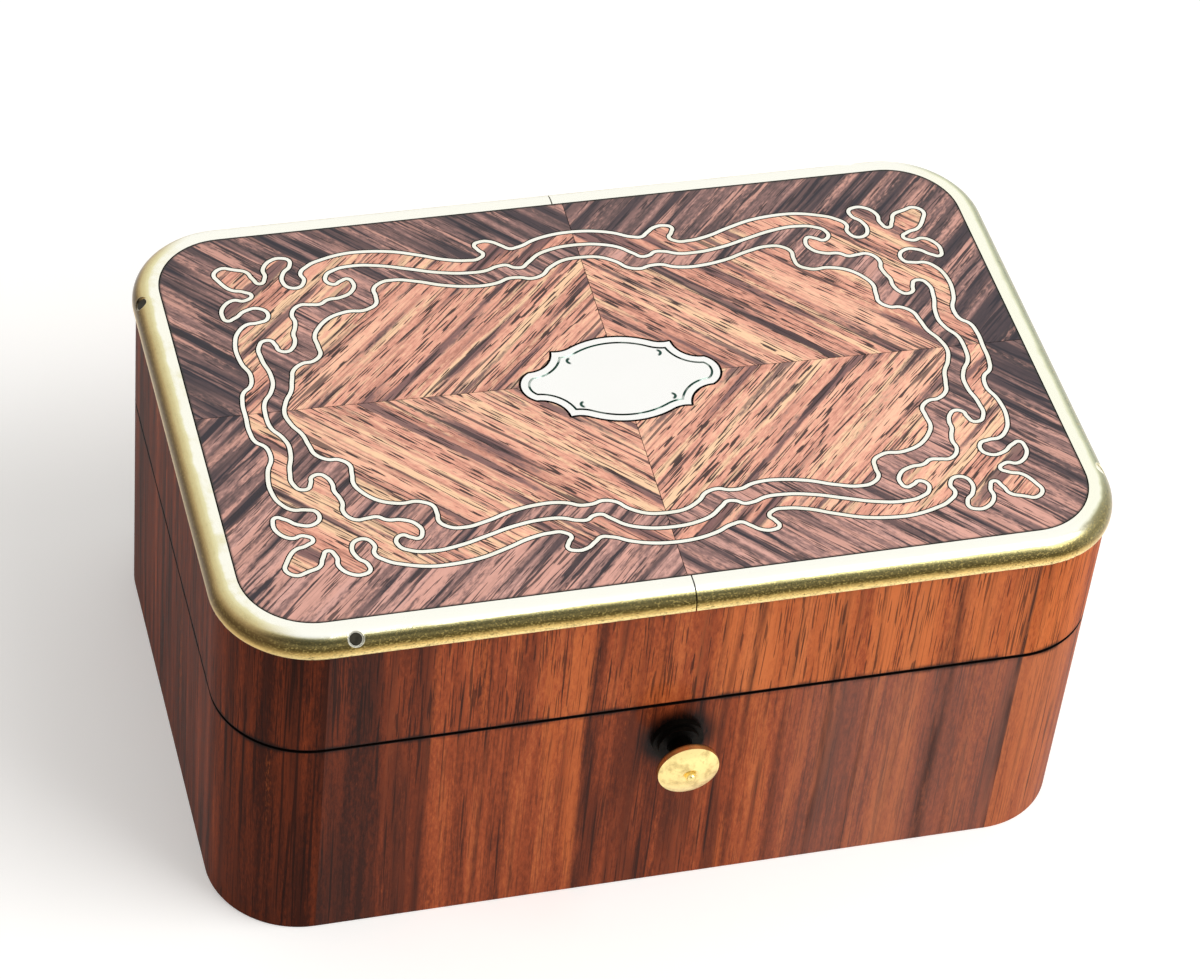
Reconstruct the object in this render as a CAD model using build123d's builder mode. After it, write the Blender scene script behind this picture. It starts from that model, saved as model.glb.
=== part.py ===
import os
from math import cos, radians, sin, sqrt, tan

from build123d import *

# A small rosewood casket: hinged lid, brass edging, strung top and a push-button catch.
# Origin at the middle of the underside, +X along the length, -Y to the front, +Z up.

# Closed casket
length = 110.0
depth = 72.5
corner_radius = 11.5
base_height = 32.0
seam_gap = 0.4
lid_height = 18.8

# Boards and veneers
base_wall = 7.0
bottom_thickness = 4.0
top_board_thickness = 4.1
wall_veneer = 0.8
top_veneer = 0.9
glue_line = 0.05

# Brass edging round the top
edging_height = 3.0
edging_inset = 2.74
edging_overhang = 0.47
edging_rounding = 2.4
edging_lower_rounding = 0.4
edging_joint = 0.16
pin_radius = 0.7
pin_length = 4.6
pin_sink = 0.25
pin_ring_radius = 0.95
pin_ring_depth = 0.3
pin_inset_long = 14.5
pin_inset_short = 12.2

# Ornament of the top
string_margin_long = 8.35
string_margin_short = 8.5
string_width = 0.5
string_gap = 0.15
quarter_joint = 0.08
field_gap = 0.15
ornament_turn = -1.5
ornament_shift = 0.45
centre_shift = 0.5
plate_half_length = 12.5
plate_half_width = 7.4
plate_gap = 0.3
plate_line_inset = 0.85
plate_line_width = 0.3
plate_line_depth = 0.15

# Linings and pads
lining = 1.5
lip_height = 2.5
lip_clearance = 0.3
lid_lining = 1.2
lid_lining_gap = 0.7
pad_gap = 0.3
floor_pad_height = 2.6
lid_pad_height = 3.0
pad_corner = 3.0
pad_edge = 1.1

# Hinges
hinge_end_distance = 27.0
hinge_set_in = 1.4
leaf_length = 16.0
leaf_margin = 0.45
leaf_thickness = 0.8
knuckle_radius = 1.6
knuckle_gap = 0.2
hinge_pin_radius = 0.7
relief = 0.25
bevel_angle = 51.0

# Screws
screw_radius = 0.55
screw_head_radius = 1.05
screw_head_height = 0.5
screw_length = 4.0
screw_slot_width = 0.25
screw_slot_depth = 0.2
screw_room = 0.05
hinge_screw_spacing = 10.0

# Push button and its collar
button_drop = 6.0
button_travel = 1.5
stop_gap = 0.1
stem_radius = 1.5
neck_radius = 1.9
neck_length = 0.9
head_radius = 3.8
head_flare = 0.8
rim_height = 0.8
crown_rise = 1.0
nub_seat_radius = 1.1
nub_seat_depth = 0.25
nub_radius = 0.6
nub_rise = 0.7
tip_radius = 0.9
washer_overlap = 0.45
washer_thickness = 0.4
collar_tube_wall = 0.75
collar_step_width = 0.3
collar_step_height = 0.6
collar_flange_width = 0.6
collar_flange_height = 0.8
running_fit = 0.05
fit = 0.05

# Lock in the front wall
pocket_half_width = 6.0
pocket_floor = 2.0
lock_margin = 3.5
lock_plate = 0.8
lock_foot = 1.2
selvedge_land = 0.6
lever_room = 2.2
lever_half_width = 3.0
lever_thickness = 1.0
lever_head = 0.3
lever_barrel_radius = 1.3
lever_floor_gap = 0.7
pivot_pin_radius = 0.7
ear_thickness = 0.8
ear_gap = 0.2
ear_half_height = 1.5
nose_half_width = 1.6
nose_reach = 1.0
nose_play = 0.2
nose_rise = 1.2
lock_screw_rise = 7.2
spring_half_width = 2.0
spring_thickness = 0.3
spring_foot_rise = 5.0
spring_foot_length = 4.0
spring_arm = 6.5
rivet_radius = 0.5
rivet_head_radius = 0.9
rivet_head_height = 0.4

# Strike in the lid
strike_half_width = 8.0
strike_thickness = 0.8
strike_depth = 4.8
tongue_half_width = 2.75
tongue_thickness = 0.8
tongue_front_gap = 0.4
tongue_lever_gap = 0.4
tongue_washer_gap = 0.3
tongue_bar = 0.8
window_half_width = 1.9
window_height = 1.8
slot_room = 0.3

# Levels and faces of the casket that follow from the sizes above
lid_bottom = base_height + seam_gap
total_height = lid_bottom + lid_height
top_veneer_bottom = total_height - top_veneer
top_board_bottom = top_veneer_bottom - top_board_thickness
edging_bottom = total_height - edging_height
edging_round = min(edging_rounding, edging_height - edging_lower_rounding - glue_line)
carcass_inset = wall_veneer + glue_line
half_x = length / 2 - carcass_inset
half_y = depth / 2 - carcass_inset
lid_wall = base_wall - lip_clearance
front_face = -depth / 2
front_inside = -half_y + base_wall

# Hinge axis, and where the leaves end and clear the other leaf's knuckles
hinge_offset = length / 2 - hinge_end_distance
hinge_y = depth / 2 - hinge_set_in
hinge_z = base_height + seam_gap / 2
notch = knuckle_radius + relief
leaf_inner = half_y - base_wall + leaf_margin
leaf_screw_y = (leaf_inner + hinge_y - notch) / 2

# Lock, from the inside of the front wall outward, and from the button up
lock_plate_front = front_inside - lock_plate
lever_back = lock_plate_front - lever_room
lever_front = lever_back - lever_thickness
lever_axis_y = (lever_front + lever_back) / 2
tongue_back = lever_front - tongue_lever_gap
tongue_front = tongue_back - tongue_thickness
pocket_front = tongue_front - tongue_front_gap
selvedge_front = pocket_front - selvedge_land
pocket_bottom = bottom_thickness + pocket_floor
lock_plate_bottom = pocket_bottom - lock_foot
lock_half_width = pocket_half_width + lock_margin
lock_selvedge_bottom = base_height - lock_plate
lock_screw_offset = (pocket_half_width + lock_half_width) / 2
lever_pivot_height = pocket_bottom + lever_floor_gap + lever_barrel_radius
button_height = base_height - button_drop
bore_radius = stem_radius + running_fit
washer_radius = bore_radius + washer_overlap
tongue_bottom = button_height + washer_radius + tongue_washer_gap
window_bottom = tongue_bottom + tongue_bar
nose_bottom = window_bottom + nose_play
nose_top = nose_bottom + nose_rise
lever_top = nose_top + lever_head
strike_screw_offset = (tongue_half_width + strike_half_width) / 2

# Button and collar, outward from the front face, and the stem's inner end
collar_end = pocket_front + fit
collar_tube_radius = bore_radius + collar_tube_wall
collar_step_radius = collar_tube_radius + collar_step_width
collar_radius = collar_step_radius + collar_flange_width
collar_front = collar_flange_height + collar_step_height
neck_start = collar_front + button_travel + stop_gap
head_back = neck_start + neck_length
rim_back = head_back + head_flare
rim_front = rim_back + rim_height
head_crown = rim_front + crown_rise
nub_tip = head_crown + nub_rise
stem_tip = lever_front - 2 * running_fit

# First quarter of each string, from the middle of the long side to the middle of the short side
outer_quarter = [
    (0, 27.9), (2.6, 27.7), (5.2, 27.0), (7.3, 26.0), (8.6, 25.8), (9.5, 26.5), (10.5, 27.3), (11.8, 27.6),
    (12.9, 27.0), (12.6, 26.1), (12.1, 25.2), (12.9, 24.4), (14.6, 24.3), (17.0, 24.8), (20.0, 26.0),
    (23.2, 27.1), (26.4, 27.6), (29.4, 27.6), (32.0, 27.0), (34.3, 26.0), (35.5, 24.7), (35.3, 23.2),
    (36.2, 22.1), (37.4, 22.3), (38.0, 23.6), (37.6, 25.0), (36.6, 26.2), (36.5, 27.2), (37.6, 27.8),
    (39.1, 27.3), (40.0, 26.0), (40.0, 24.5), (40.8, 23.4), (41.6, 24.5), (42.1, 25.7), (43.6, 26.4),
    (45.2, 26.8), (46.1, 26.1), (45.6, 24.1), (44.5, 22.7), (43.1, 22.2), (42.2, 21.4), (43.1, 20.6),
    (44.7, 20.8), (45.9, 19.9), (46.4, 18.4), (45.9, 17.2), (44.9, 17.6), (43.5, 18.7), (41.9, 19.0),
    (40.8, 18.0), (41.1, 16.8), (42.2, 16.4), (43.7, 16.2), (45.0, 14.9), (45.7, 12.6), (45.5, 9.6),
    (44.7, 7.1), (45.0, 5.4), (46.1, 4.2), (46.5, 2.4), (46.5, 0),
]
middle_quarter = [
    (0, 25.4), (2.9, 25.1), (5.3, 24.2), (6.8, 22.9), (7.8, 22.1), (8.7, 22.2), (9.7, 22.8), (10.8, 22.7),
    (12.4, 22.1), (15.2, 22.0), (18.6, 22.6), (22.0, 23.7), (25.2, 24.7), (28.6, 25.2), (31.1, 24.8),
    (32.4, 23.9), (32.6, 22.8), (31.7, 22.1), (30.8, 22.6), (29.9, 22.9), (29.3, 21.9), (29.9, 20.4),
    (31.4, 19.6), (33.0, 19.4), (34.2, 18.7), (35.3, 18.8), (36.5, 18.9), (37.5, 18.2), (37.9, 17.1),
    (37.7, 16.0), (37.9, 14.9), (38.3, 13.8), (38.3, 12.6), (38.7, 11.5), (39.5, 10.8), (40.5, 11.1),
    (40.8, 12.1), (41.3, 13.0), (42.2, 13.0), (42.9, 12.0), (42.9, 9.8), (42.3, 7.0), (42.3, 5.3),
    (42.8, 3.9), (43.8, 2.3), (44.1, 0),
]
inner_quarter = [
    (0, 23.0), (2.4, 22.7), (4.3, 21.6), (5.6, 20.3), (7.0, 19.9), (8.5, 20.3), (9.9, 20.3), (11.3, 19.7),
    (13.0, 19.4), (15.2, 19.5), (18.2, 20.1), (21.5, 21.3), (24.0, 21.9), (25.8, 21.7), (27.0, 20.6),
    (27.0, 19.2), (27.2, 17.9), (28.5, 17.0), (31.2, 16.9), (33.4, 16.1), (34.9, 14.7), (35.8, 13.0),
    (35.7, 11.2), (35.7, 9.7), (36.7, 8.7), (38.2, 8.4), (39.4, 7.4), (39.9, 5.7), (40.3, 3.9), (41.3, 2.0),
    (41.8, 0),
]

# The cartouche's first quarter: bulge, cusp, hollow and round end
plate_bulge = (5.25, 6.0)
plate_dip = (6.4, 5.65)
plate_cusp = (7.5, 5.7)
plate_hollow = (8.4, 3.6)
plate_shoulder = (11.1, 2.4)
plate_drawn = (12.5, 7.4)


def save(piece, name):
    piece.part.label = name
    export_step(piece.part, f"parts/{name}.step")


def outline(inset, mode=Mode.ADD):
    RectangleRounded(length - 2 * inset, depth - 2 * inset, corner_radius - inset, mode=mode)


def block(x_range, y_range, z_range, mode=Mode.ADD):
    middle = [sum(ends) / 2 for ends in (x_range, y_range, z_range)]
    with Locations(tuple(middle)):
        Box(*(ends[1] - ends[0] for ends in (x_range, y_range, z_range)), mode=mode)


def rod(radius, start, end, mode=Mode.ADD):
    run = Vector(*end) - Vector(*start)
    with Locations(Plane(origin=start, z_dir=run).location):
        Cylinder(radius, run.length, align=(Align.CENTER, Align.CENTER, Align.MIN), mode=mode)


# Screws: a countersunk head at the given point and a shank along the given direction
def screw_place(point, direction):
    return Plane(origin=point, x_dir=(1, 0, 0), z_dir=direction).location


def screw(point, direction):
    with Locations(screw_place(point, direction)):
        on_head = (Align.CENTER, Align.CENTER, Align.MIN)
        Cone(screw_head_radius, screw_radius, screw_head_height, align=on_head)
        Cylinder(screw_radius, screw_length, align=on_head)
        Box(3 * screw_head_radius, screw_slot_width, 2 * screw_slot_depth, mode=Mode.SUBTRACT)


def screw_hole(point, direction):
    with Locations(screw_place(point, direction)):
        on_head = (Align.CENTER, Align.CENTER, Align.MIN)
        head = screw_head_radius + screw_room
        shank = screw_radius + screw_room
        Cone(head, shank, screw_head_height, align=on_head, mode=Mode.SUBTRACT)
        Cylinder(shank, screw_length + screw_room, align=on_head, mode=Mode.SUBTRACT)


# The corners of one mitred board, before the corner rounding
def mitred_corners(side, wall):
    x, y = half_x, half_y
    corners = {
        "front": [(-x, -y), (x, -y), (x - wall, wall - y), (wall - x, wall - y)],
        "back": [(x, y), (-x, y), (wall - x, y - wall), (x - wall, y - wall)],
        "left": [(-x, y), (-x, -y), (wall - x, wall - y), (wall - x, y - wall)],
        "right": [(x, -y), (x, y), (x - wall, y - wall), (x - wall, wall - y)],
    }
    return corners[side]


def board_face(side, wall, level):
    with BuildSketch(Plane.XY.offset(level)) as face:
        outline(carcass_inset)
        Polygon(*mitred_corners(side, wall), mode=Mode.INTERSECT)
    return face.sketch


# A flat veneer at front or back, or a side veneer that wraps both of its corners
def veneer_face(side, level):
    flat = length - 2 * corner_radius
    places = {
        "front": (0, -depth / 2, flat, corner_radius),
        "back": (0, depth / 2, flat, corner_radius),
        "left": (-length / 2, 0, 2 * corner_radius, 2 * depth),
        "right": (length / 2, 0, 2 * corner_radius, 2 * depth),
    }
    x, y, width, height = places[side]
    with BuildSketch(Plane.XY.offset(level)) as face:
        outline(0)
        outline(wall_veneer, mode=Mode.SUBTRACT)
        with Locations((x, y)):
            Rectangle(width, height, mode=Mode.INTERSECT)
    return face.sketch


# The back edges are bevelled away from the hinge axis, down on the base and up on the lid
def cut_back_bevel(way):
    reach = 2 * hinge_set_in
    with BuildSketch(Plane.YZ.offset(-length)) as wedge:
        Polygon(
            (hinge_y, hinge_z),
            (hinge_y + reach, hinge_z),
            (hinge_y + reach, hinge_z + way * reach * tan(radians(bevel_angle))),
        )
    extrude(wedge.sketch, amount=2 * length, mode=Mode.SUBTRACT)


def cut_knuckle_relief():
    for x in (-hinge_offset, hinge_offset):
        reach = leaf_length / 2 + relief
        rod(notch, (x - reach, hinge_y, hinge_z), (x + reach, hinge_y, hinge_z), Mode.SUBTRACT)


def hinge_screw_points(level):
    ends = (-hinge_screw_spacing / 2, hinge_screw_spacing / 2)
    return [(x + end, leaf_screw_y, level) for x in (-hinge_offset, hinge_offset) for end in ends]


def cut_leaf_seats(face, way, direction):
    for x in (-hinge_offset, hinge_offset):
        levels = sorted((face, face + way * leaf_thickness))
        x_range = (x - leaf_length / 2 - fit, x + leaf_length / 2 + fit)
        block(x_range, (leaf_inner - fit, hinge_y), levels, Mode.SUBTRACT)
    for point in hinge_screw_points(face):
        screw_hole(point, direction)


def lock_screw_places():
    low = lock_plate_bottom + lock_screw_rise
    ends = (-lock_screw_offset, lock_screw_offset)
    in_rim = [((x, lever_back, base_height), (0, 0, -1)) for x in ends]
    in_wall = [((x, front_inside, low), (0, -1, 0)) for x in ends]
    return in_rim + in_wall


def strike_screw_points():
    return [(x, lever_front, lid_bottom) for x in (-strike_screw_offset, strike_screw_offset)]


def cut_lock_pocket():
    inner = front_inside + fit
    half = lock_half_width + fit
    pocket = (-pocket_half_width, pocket_half_width)
    block(pocket, (pocket_front, inner), (pocket_bottom, base_height), Mode.SUBTRACT)
    block((-half, half), (lock_plate_front, inner), (lock_plate_bottom - fit, base_height), Mode.SUBTRACT)
    block((-half, half), (selvedge_front - fit, inner), (lock_selvedge_bottom, base_height), Mode.SUBTRACT)
    for point, direction in lock_screw_places():
        screw_hole(point, direction)


def cut_button_hole():
    radius = collar_tube_radius + fit
    rod(radius, (0, 2 * front_face, button_height), (0, pocket_front, button_height), Mode.SUBTRACT)


# Scrolled lines: the quarter is mirrored to a closed loop and its points are joined by pairs of
# arcs that share their tangents, so a shifted copy is again made of arcs
def closed_loop(drawn):
    stretch_x = (length / 2 - string_margin_short) / outer_quarter[-1][0]
    stretch_y = (depth / 2 - string_margin_long) / outer_quarter[0][1]
    quarter = [(x * stretch_x, y * stretch_y) for x, y in drawn]
    right = quarter + [(x, -y) for x, y in reversed(quarter[:-1])]
    left = [(-x, y) for x, y in reversed(right[1:-1])]
    return [Vector(x, y) for x, y in right + left]


def loop_nodes(quarter):
    points = closed_loop(quarter)
    count = len(points)
    tangents = []
    for i, point in enumerate(points):
        before = point - points[i - 1]
        after = points[(i + 1) % count] - point
        weight = after.length / before.length
        tangents.append((before * weight + after * (1 / weight)).normalized())
    nodes = []
    for i, point in enumerate(points):
        end = points[(i + 1) % count]
        start_way, end_way = tangents[i], tangents[(i + 1) % count]
        chord = end - point
        along = chord.dot(start_way + end_way)
        bend = 2 * (1 - start_way.dot(end_way))
        reach = chord.dot(chord) / (2 * along)
        if bend > 1e-9:
            reach = (sqrt(along * along + bend * chord.dot(chord)) - along) / bend
        middle = (point + end + (start_way - end_way) * reach) * 0.5
        middle_way = (end - end_way * reach - point - start_way * reach).normalized()
        nodes += [(point, start_way), (middle, middle_way)]
    return nodes


# The loop runs clockwise, so a positive shift moves it outward
def loop_face(nodes, shift):
    places = [(p + Vector(-way.Y, way.X) * shift, way) for p, way in nodes]
    stretches = []
    for i, (start, way) in enumerate(places):
        end = places[(i + 1) % len(places)][0]
        chord = (end - start).normalized()
        if abs(chord.X * way.Y - chord.Y * way.X) < 1e-6:
            stretches.append(Line(start, end, mode=Mode.PRIVATE))
        else:
            stretches.append(TangentArc(start, end, tangent=way, mode=Mode.PRIVATE))
    with BuildSketch() as face:
        with BuildLine():
            add(Wire(stretches))
        make_face()
    return face.sketch


# The ornament was laid by hand, so it sits a little turned and off the lid's middle
def ornament_plane(level, shift=0.0):
    turn = radians(ornament_turn)
    return Plane((ornament_shift, shift, level), x_dir=(cos(turn), sin(turn), 0), z_dir=(0, 0, 1))


def cut_quarter_joints():
    with BuildSketch(ornament_plane(top_veneer_bottom, centre_shift)) as joints:
        Rectangle(quarter_joint, 2 * depth)
        Rectangle(2 * length, quarter_joint)
    extrude(joints.sketch, amount=top_veneer, mode=Mode.SUBTRACT)


# The cartouche, mirrored from its first quarter and grown or shrunk by an even margin
def plate_face(grow):
    stretch_x = plate_half_length / plate_drawn[0]
    stretch_y = plate_half_width / plate_drawn[1]

    def placed(point, x_way, y_way):
        return (x_way * stretch_x * point[0], y_way * stretch_y * point[1])

    with BuildSketch() as face:
        with BuildLine():
            for way in ((1, 1), (1, -1), (-1, -1), (-1, 1)):
                for arc in ((plate_bulge, plate_dip, plate_cusp), (plate_cusp, plate_hollow, plate_shoulder)):
                    ThreePointArc(*(placed(point, *way) for point in arc))
            for way in (1, -1):
                top = (0, way * plate_half_width)
                end = (way * plate_half_length, 0)
                ThreePointArc(placed(plate_bulge, -1, way), top, placed(plate_bulge, 1, way))
                ThreePointArc(placed(plate_shoulder, way, 1), end, placed(plate_shoulder, way, -1))
        make_face()
        if grow:
            offset(amount=grow, mode=Mode.REPLACE)
    return face.sketch


# Pins through the edging's rounding at 45 degrees, two in each half: the point on the surface and the way in
def edging_pin_places():
    cut_back = edging_round * (1 - sqrt(0.5))
    out = edging_overhang - cut_back
    level = total_height - cut_back
    x_pin = length / 2 - pin_inset_long
    y_pin = depth / 2 - pin_inset_short
    places = []
    for s in (-1, 1):
        places.append(((s * x_pin, s * (depth / 2 + out), level), (0, -s, -1)))
        places.append(((s * (length / 2 + out), -s * y_pin, level), (-s, 0, -1)))
    return [(Vector(*point), Vector(*way).normalized()) for point, way in places]


def cut_pin_holes():
    for point, way in edging_pin_places():
        rod(pin_radius + fit, point, point + way * (pin_length + pin_sink + fit), Mode.SUBTRACT)


os.makedirs("parts", exist_ok=True)

# Base carcass
with BuildPart() as bottom_board:
    with BuildSketch():
        outline(carcass_inset)
    extrude(amount=bottom_thickness)
save(bottom_board, "bottom_board")

for side in ("front", "back", "left", "right"):
    with BuildPart() as base_board:
        extrude(board_face(side, base_wall, bottom_thickness), amount=base_height - bottom_thickness)
        if side == "front":
            cut_lock_pocket()
            cut_button_hole()
        else:
            cut_back_bevel(-1)
        if side == "back":
            cut_knuckle_relief()
            cut_leaf_seats(base_height, -1, (0, 0, -1))
    save(base_board, f"base_{side}_board")

    with BuildPart() as base_veneer:
        extrude(veneer_face(side, 0), amount=base_height)
        if side == "front":
            cut_button_hole()
        else:
            cut_back_bevel(-1)
        if side == "back":
            cut_knuckle_relief()
    save(base_veneer, f"base_{side}_veneer")

# Lid carcass
with BuildPart() as lid_top_board:
    with BuildSketch(Plane.XY.offset(top_board_bottom)):
        outline(carcass_inset)
    extrude(amount=edging_bottom - top_board_bottom)
    with BuildSketch(Plane.XY.offset(edging_bottom)):
        outline(edging_inset + glue_line)
    extrude(amount=top_veneer_bottom - edging_bottom)
    cut_pin_holes()
save(lid_top_board, "lid_top_board")

for side in ("front", "back", "left", "right"):
    with BuildPart() as lid_board:
        extrude(board_face(side, lid_wall, lid_bottom), amount=top_board_bottom - lid_bottom)
        cut_pin_holes()
        if side == "front":
            half = strike_half_width + fit
            strike_y = (selvedge_front - fit, selvedge_front + strike_depth + fit)
            block((-half, half), strike_y, (lid_bottom, lid_bottom + strike_thickness), Mode.SUBTRACT)
            for point in strike_screw_points():
                screw_hole(point, (0, 0, 1))
        else:
            cut_back_bevel(1)
        if side == "back":
            cut_knuckle_relief()
            cut_leaf_seats(lid_bottom, 1, (0, 0, 1))
    save(lid_board, f"lid_{side}_board")

    with BuildPart() as lid_veneer:
        extrude(veneer_face(side, lid_bottom), amount=edging_bottom - lid_bottom)
        if side != "front":
            cut_back_bevel(1)
        if side == "back":
            cut_knuckle_relief()
    save(lid_veneer, f"lid_{side}_veneer")

# Top veneers, strings and cartouche
outer_nodes = loop_nodes(outer_quarter)
middle_nodes = loop_nodes(middle_quarter)
inner_nodes = loop_nodes(inner_quarter)
string_room = string_width / 2 + string_gap

for name, nodes in (
    ("outer_string", outer_nodes),
    ("middle_string", middle_nodes),
    ("inner_string", inner_nodes),
):
    with BuildPart() as string:
        with BuildSketch(ornament_plane(top_veneer_bottom)):
            add(loop_face(nodes, string_width / 2))
            add(loop_face(nodes, -string_width / 2), mode=Mode.SUBTRACT)
        extrude(amount=top_veneer)
    save(string, name)

with BuildPart() as field_veneer:
    with BuildSketch(Plane.XY.offset(top_veneer_bottom)):
        outline(edging_inset + field_gap)
    extrude(amount=top_veneer)
    with BuildSketch(ornament_plane(top_veneer_bottom)):
        add(loop_face(outer_nodes, string_room))
    extrude(amount=top_veneer, mode=Mode.SUBTRACT)
    cut_quarter_joints()
save(field_veneer, "field_veneer")

for name, outside, inside in (
    ("light_band_veneer", outer_nodes, middle_nodes),
    ("dark_band_veneer", middle_nodes, inner_nodes),
):
    with BuildPart() as band_veneer:
        with BuildSketch(ornament_plane(top_veneer_bottom)):
            add(loop_face(outside, -string_room))
            add(loop_face(inside, string_room), mode=Mode.SUBTRACT)
        extrude(amount=top_veneer)
        cut_quarter_joints()
    save(band_veneer, name)

with BuildPart() as centre_veneer:
    with BuildSketch(ornament_plane(top_veneer_bottom)):
        add(loop_face(inner_nodes, -string_room))
    extrude(amount=top_veneer)
    with BuildSketch(ornament_plane(top_veneer_bottom, centre_shift)):
        add(plate_face(plate_gap))
    extrude(amount=top_veneer, mode=Mode.SUBTRACT)
    cut_quarter_joints()
save(centre_veneer, "centre_veneer")

with BuildPart() as cartouche:
    with BuildSketch(ornament_plane(top_veneer_bottom, centre_shift)):
        add(plate_face(0))
    extrude(amount=top_veneer)
    with BuildSketch(ornament_plane(total_height, centre_shift)):
        add(plate_face(-plate_line_inset))
        add(plate_face(-plate_line_inset - plate_line_width), mode=Mode.SUBTRACT)
    extrude(amount=-plate_line_depth, mode=Mode.SUBTRACT)
save(cartouche, "cartouche")

# Brass edging, in two halves that butt at the middle of the front and back, and its pins
for name, way in (("edging_left", -1), ("edging_right", 1)):
    with BuildPart() as edging:
        with BuildSketch(Plane.XY.offset(edging_bottom)):
            outline(-edging_overhang)
            outline(edging_inset, mode=Mode.SUBTRACT)
        extrude(amount=edging_height)
        fillet(faces().sort_by(Axis.Z)[-1].outer_wire().edges(), radius=edging_round)
        fillet(faces().sort_by(Axis.Z)[0].outer_wire().edges(), radius=edging_lower_rounding)
        x_range = sorted((way * edging_joint / 2, -way * length))
        block(x_range, (-depth, depth), (0, 2 * total_height), Mode.SUBTRACT)
        for point, pin_way in edging_pin_places():
            rod(pin_radius + fit, point - pin_way, point + pin_way * 2 * pin_length, Mode.SUBTRACT)
            rod(pin_ring_radius, point - pin_way, point + pin_way * pin_ring_depth, Mode.SUBTRACT)
    save(edging, name)

with BuildPart() as edging_pins:
    for point, way in edging_pin_places():
        rod(pin_radius, point + way * pin_sink, point + way * (pin_sink + pin_length))
save(edging_pins, "edging_pins")

# Linings and pads
base_inside = (half_x - base_wall, half_y - base_wall)
lid_inside = (half_x - lid_wall, half_y - lid_wall)
for owner, inside, sheet, bottom, top in (
    ("base", base_inside, lining, bottom_thickness, base_height + lip_height),
    ("lid", lid_inside, lid_lining, base_height + lip_height + lid_lining_gap, top_board_bottom),
):
    x, y = inside
    for side, x_range, y_range in (
        ("front", (sheet - x, x - sheet), (-y, sheet - y)),
        ("back", (sheet - x, x - sheet), (y - sheet, y)),
        ("left", (-x, sheet - x), (-y, y)),
        ("right", (x - sheet, x), (-y, y)),
    ):
        with BuildPart() as wall_lining:
            block(x_range, y_range, (bottom, top))
        save(wall_lining, f"{owner}_{side}_lining")

for name, inside, sheet, level, height in (
    ("floor_pad", base_inside, lining, bottom_thickness, floor_pad_height),
    ("lid_pad", lid_inside, lid_lining, top_board_bottom, -lid_pad_height),
):
    x, y = (half - sheet - pad_gap for half in inside)
    with BuildPart() as pad:
        with BuildSketch(Plane.XY.offset(level)):
            RectangleRounded(2 * x, 2 * y, pad_corner)
        extrude(amount=height)
        crown = faces().sort_by(Axis.Z)[-1 if height > 0 else 0]
        fillet(crown.edges(), radius=min(pad_edge, abs(height) / 2))
    save(pad, name)

# Hinges: the base leaf has the two end knuckles and the lid leaf has the middle one
middle_half = leaf_length / 6
base_inner = middle_half + knuckle_gap / 2
lid_outer = middle_half - knuckle_gap / 2
base_spans = ((-leaf_length / 2, -base_inner), (base_inner, leaf_length / 2))
lid_spans = ((-lid_outer, lid_outer),)
for side, x in (("left", -hinge_offset), ("right", hinge_offset)):
    for owner, face, way, spans in (
        ("base", base_height, -1, base_spans),
        ("lid", lid_bottom, 1, lid_spans),
    ):
        levels = sorted((face, face + way * leaf_thickness))
        with BuildPart() as leaf:
            x_range = (x - leaf_length / 2, x + leaf_length / 2)
            block(x_range, (leaf_inner, hinge_y - notch), levels)
            for start, end in spans:
                block((x + start, x + end), (leaf_inner, hinge_y), levels)
                rod(knuckle_radius, (x + start, hinge_y, hinge_z), (x + end, hinge_y, hinge_z))
            bore = hinge_pin_radius + running_fit
            rod(bore, (x - leaf_length, hinge_y, hinge_z), (x + leaf_length, hinge_y, hinge_z), Mode.SUBTRACT)
            for point in hinge_screw_points(face):
                screw_hole(point, (0, 0, way))
        save(leaf, f"{side}_hinge_{owner}_leaf")

    with BuildPart() as hinge_pin:
        reach = leaf_length / 2
        rod(hinge_pin_radius, (x - reach, hinge_y, hinge_z), (x + reach, hinge_y, hinge_z))
    save(hinge_pin, f"{side}_hinge_pin")

for owner, face, way in (("base", base_height, -1), ("lid", lid_bottom, 1)):
    with BuildPart() as hinge_screws:
        for point in hinge_screw_points(face):
            screw(point, (0, 0, way))
    save(hinge_screws, f"hinge_screws_{owner}")

# Push button, its washer and its collar, turned about an axis that points out of the front
button_plane = Plane(origin=(0, front_face, button_height), x_dir=(0, 0, 1), z_dir=(1, 0, 0))
button_axis = Axis((0, front_face, button_height), (0, 1, 0))
washer_front = collar_end + running_fit
washer_back = washer_front + washer_thickness

with BuildPart() as push_button:
    with BuildSketch(button_plane):
        with BuildLine():
            inner_end = front_face - stem_tip
            shoulder = front_face - washer_front
            Polyline(
                (0, nub_tip),
                (0, inner_end),
                (tip_radius, inner_end),
                (tip_radius, shoulder),
                (stem_radius, shoulder),
                (stem_radius, neck_start),
                (neck_radius, neck_start),
                (neck_radius, head_back),
                (head_radius, rim_back),
                (head_radius, rim_front),
            )
            crown_start = Vector(head_radius, rim_front)
            RadiusArc(crown_start, (nub_seat_radius, head_crown), -2 * head_radius)
            Polyline(
                (nub_seat_radius, head_crown),
                (nub_radius, head_crown - nub_seat_depth),
                (nub_radius, nub_tip - nub_radius),
            )
            RadiusArc((nub_radius, nub_tip - nub_radius), (0, nub_tip), -nub_radius)
        make_face()
    revolve(axis=button_axis)
save(push_button, "push_button")

with BuildPart() as button_washer:
    rod(washer_radius, (0, washer_front, button_height), (0, washer_back, button_height))
    rod(tip_radius + fit, (0, front_face, button_height), (0, 0, button_height), Mode.SUBTRACT)
save(button_washer, "button_washer")

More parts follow.
